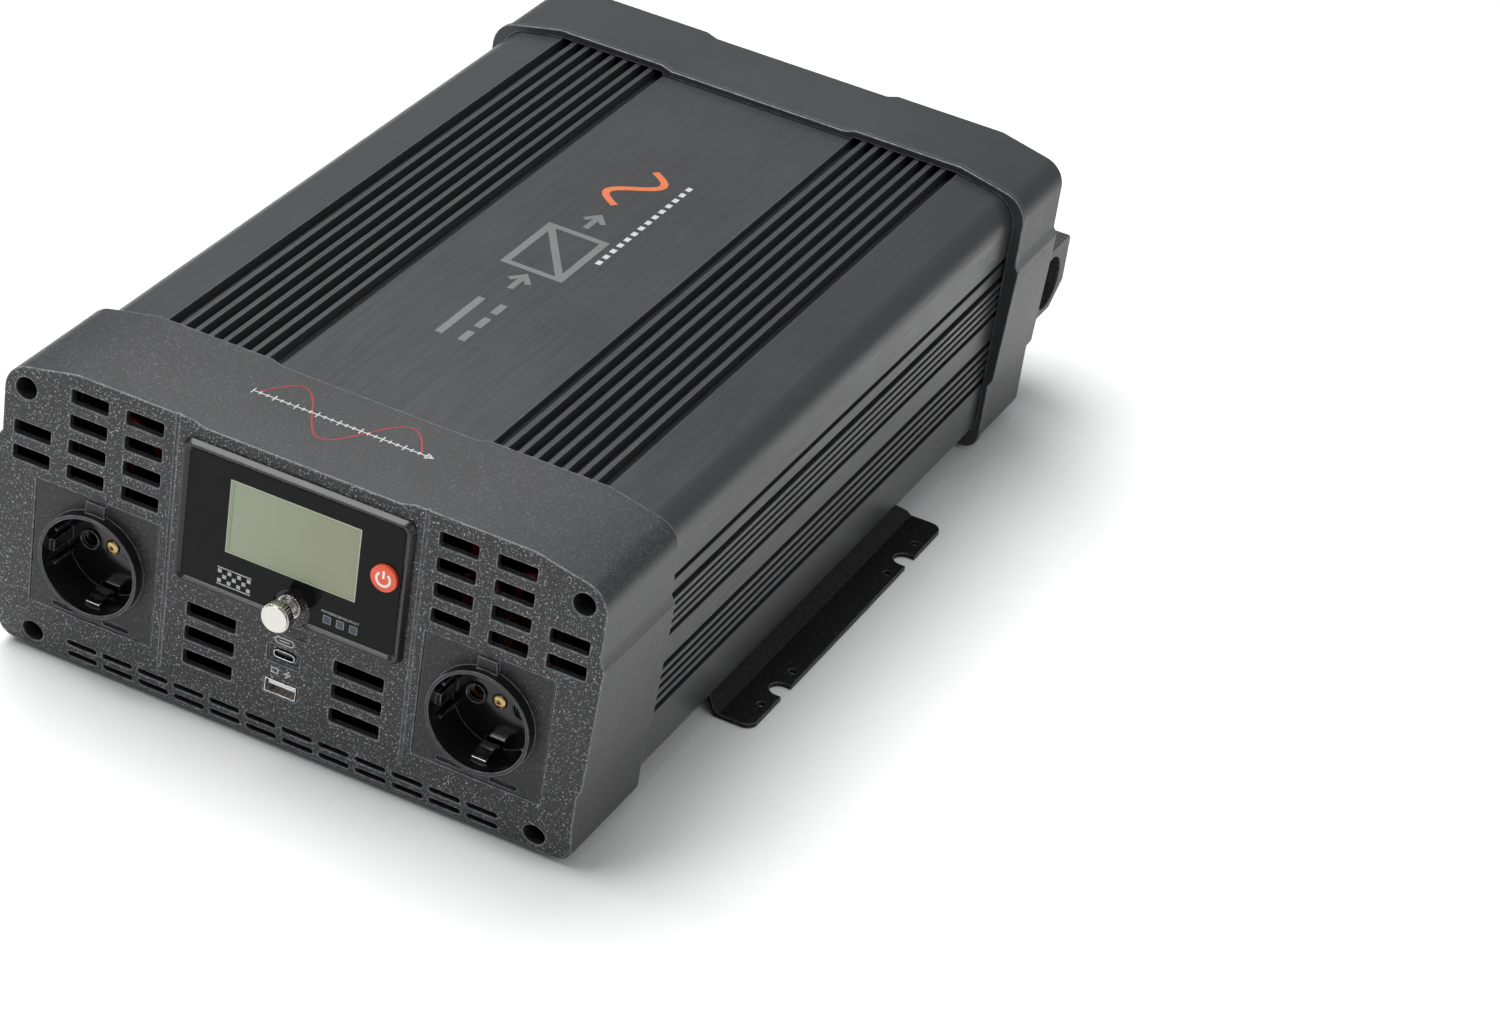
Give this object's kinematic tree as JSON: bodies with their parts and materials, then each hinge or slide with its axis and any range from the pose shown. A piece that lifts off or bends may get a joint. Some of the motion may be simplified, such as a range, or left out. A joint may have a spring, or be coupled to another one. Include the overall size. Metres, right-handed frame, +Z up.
{
  "type": "power inverter",
  "caption": "Power inverter: ribbed aluminium case, moulded end caps, display, mains sockets, USB ports, DC terminals, cooling fans and mounting brackets.",
  "frame": {"origin": "middle of the piece's bounding box, on the plane the mounting brackets stand on", "axes": "+X to the right as seen from the front, +Y from the front face to the rear, +Z up"},
  "size_m": [0.273, 0.4656, 0.1275],
  "materials": {
    "case_metal": "satin powder coat",
    "case_plastic": "fine spark texture",
    "base_metal": "matt",
    "frame_plastic": "satin",
    "lens": "polished",
    "lcd": "unlit reflective display",
    "button_red": "translucent",
    "black_part": "moulded",
    "led_window": "unlit window",
    "board": "solder mask",
    "socket_plastic": "glossy recess, textured plate",
    "contact_brass": "bright",
    "clip_metal": "bright",
    "port_metal": "bright",
    "port_black": "moulded",
    "port_white": "moulded",
    "nickel": "knurled, bright",
    "screw_zinc": "zinc",
    "bracket_steel": "textured powder coat",
    "housing_plastic": "moulded",
    "terminal_brass": "machined",
    "bolt_black": "blackened",
    "fan_plastic": "moulded",
    "guard_steel": "plated wire",
    "ferrite": "sintered",
    "winding_tape": "tape",
    "can_blue": "sleeve",
    "epoxy": "moulded",
    "bar_aluminium": "mill finish",
    "copper_enamel": "enamelled wire",
    "wire_red": "silicone"
  },
  "bodies": {
    "case": {"body_extrusion": "case_metal", "base_plate": "base_metal", "front_bezel": "case_plastic", "rear_cap": "case_plastic", "display_frame": "frame_plastic", "display_lens": "lens", "lcd_panel": "lcd", "button_switch": "black_part", "status_leds": "led_window", "display_board": "board", "socket_left": "socket_plastic", "socket_right": "socket_plastic", "contacts_left": "contact_brass", "contacts_right": "contact_brass", "earth_clips_left": "clip_metal", "earth_clips_right": "clip_metal", "usb_c_shell": "port_metal", "usb_c_tongue": "port_black", "usb_a_shell": "port_metal", "usb_a_tongue": "port_white", "port_board": "board", "ground_post": "nickel", "front_screws": "screw_zinc", "rear_screws": "screw_zinc", "bracket_left": "bracket_steel", "bracket_right": "bracket_steel", "bracket_screws": "screw_zinc", "terminal_housing_left": "housing_plastic", "terminal_housing_right": "housing_plastic", "terminal_block_left": "terminal_brass", "terminal_block_right": "terminal_brass", "fan_frame_left": "fan_plastic", "fan_frame_right": "fan_plastic", "fan_guards": "guard_steel", "fan_screws": "screw_zinc", "main_board": "board", "standoffs": "terminal_brass", "transformer_cores": "ferrite", "transformer_windings": "winding_tape", "capacitors": "can_blue", "mosfets": "epoxy", "heat_bars": "bar_aluminium", "choke_core": "ferrite", "choke_winding": "copper_enamel", "socket_wires": "wire_red"},
    "button": {"power_button": "button_red"},
    "ground_ring": {"ground_washer": "nickel"},
    "ground_knob": {"ground_screw": "nickel"},
    "fan_left": {"fan_rotor_left": "fan_plastic"},
    "fan_right": {"fan_rotor_right": "fan_plastic"},
    "ring_left": {"terminal_washer_left": "screw_zinc"},
    "ring_right": {"terminal_washer_right": "screw_zinc"},
    "bolt_left": {"terminal_bolt_left": "bolt_black"},
    "bolt_right": {"terminal_bolt_right": "bolt_black"}
  },
  "joints": [
    {"name": "button_press", "type": "slide", "parent": "case", "child": "button", "axis": [0, 1, 0], "range_m": [0, 0.0008], "stiffness_N_per_m": 900, "springref_m": -0.0006},
    {"name": "ground_turn", "type": "hinge", "parent": "ground_ring", "child": "ground_knob", "pos_m": [0.002, -0.2292, 0.0679], "axis": [0, -1, 0], "range_deg": [0, 1440]},
    {"name": "ground_lift", "type": "slide", "parent": "case", "child": "ground_ring", "axis": [0, -1, 0], "range_m": [0, 0.0032]},
    {"name": "fan_left_spin", "type": "hinge", "parent": "case", "child": "fan_left", "pos_m": [-0.035, 0.1808, 0.0653], "axis": [0, 1, 0], "continuous": true},
    {"name": "fan_right_spin", "type": "hinge", "parent": "case", "child": "fan_right", "pos_m": [0.035, 0.1808, 0.0653], "axis": [0, 1, 0], "continuous": true},
    {"name": "bolt_left_lift", "type": "slide", "parent": "case", "child": "ring_left", "axis": [-1, 0, 0], "range_m": [0, 0.005]},
    {"name": "bolt_left_turn", "type": "hinge", "parent": "ring_left", "child": "bolt_left", "pos_m": [-0.1025, 0.2138, 0.054], "axis": [-1, 0, 0], "range_deg": [0, 1440]},
    {"name": "bolt_right_lift", "type": "slide", "parent": "case", "child": "ring_right", "axis": [1, 0, 0], "range_m": [0, 0.005]},
    {"name": "bolt_right_turn", "type": "hinge", "parent": "ring_right", "child": "bolt_right", "pos_m": [0.1025, 0.2138, 0.054], "axis": [1, 0, 0], "range_deg": [0, 1440]}
  ],
  "couplings": [
    {"joint": "ground_turn", "follows": "ground_lift", "rad_per_m": 7854},
    {"joint": "bolt_left_turn", "follows": "bolt_left_lift", "rad_per_m": 5026.5},
    {"joint": "bolt_right_turn", "follows": "bolt_right_lift", "rad_per_m": 5026.5}
  ]
}
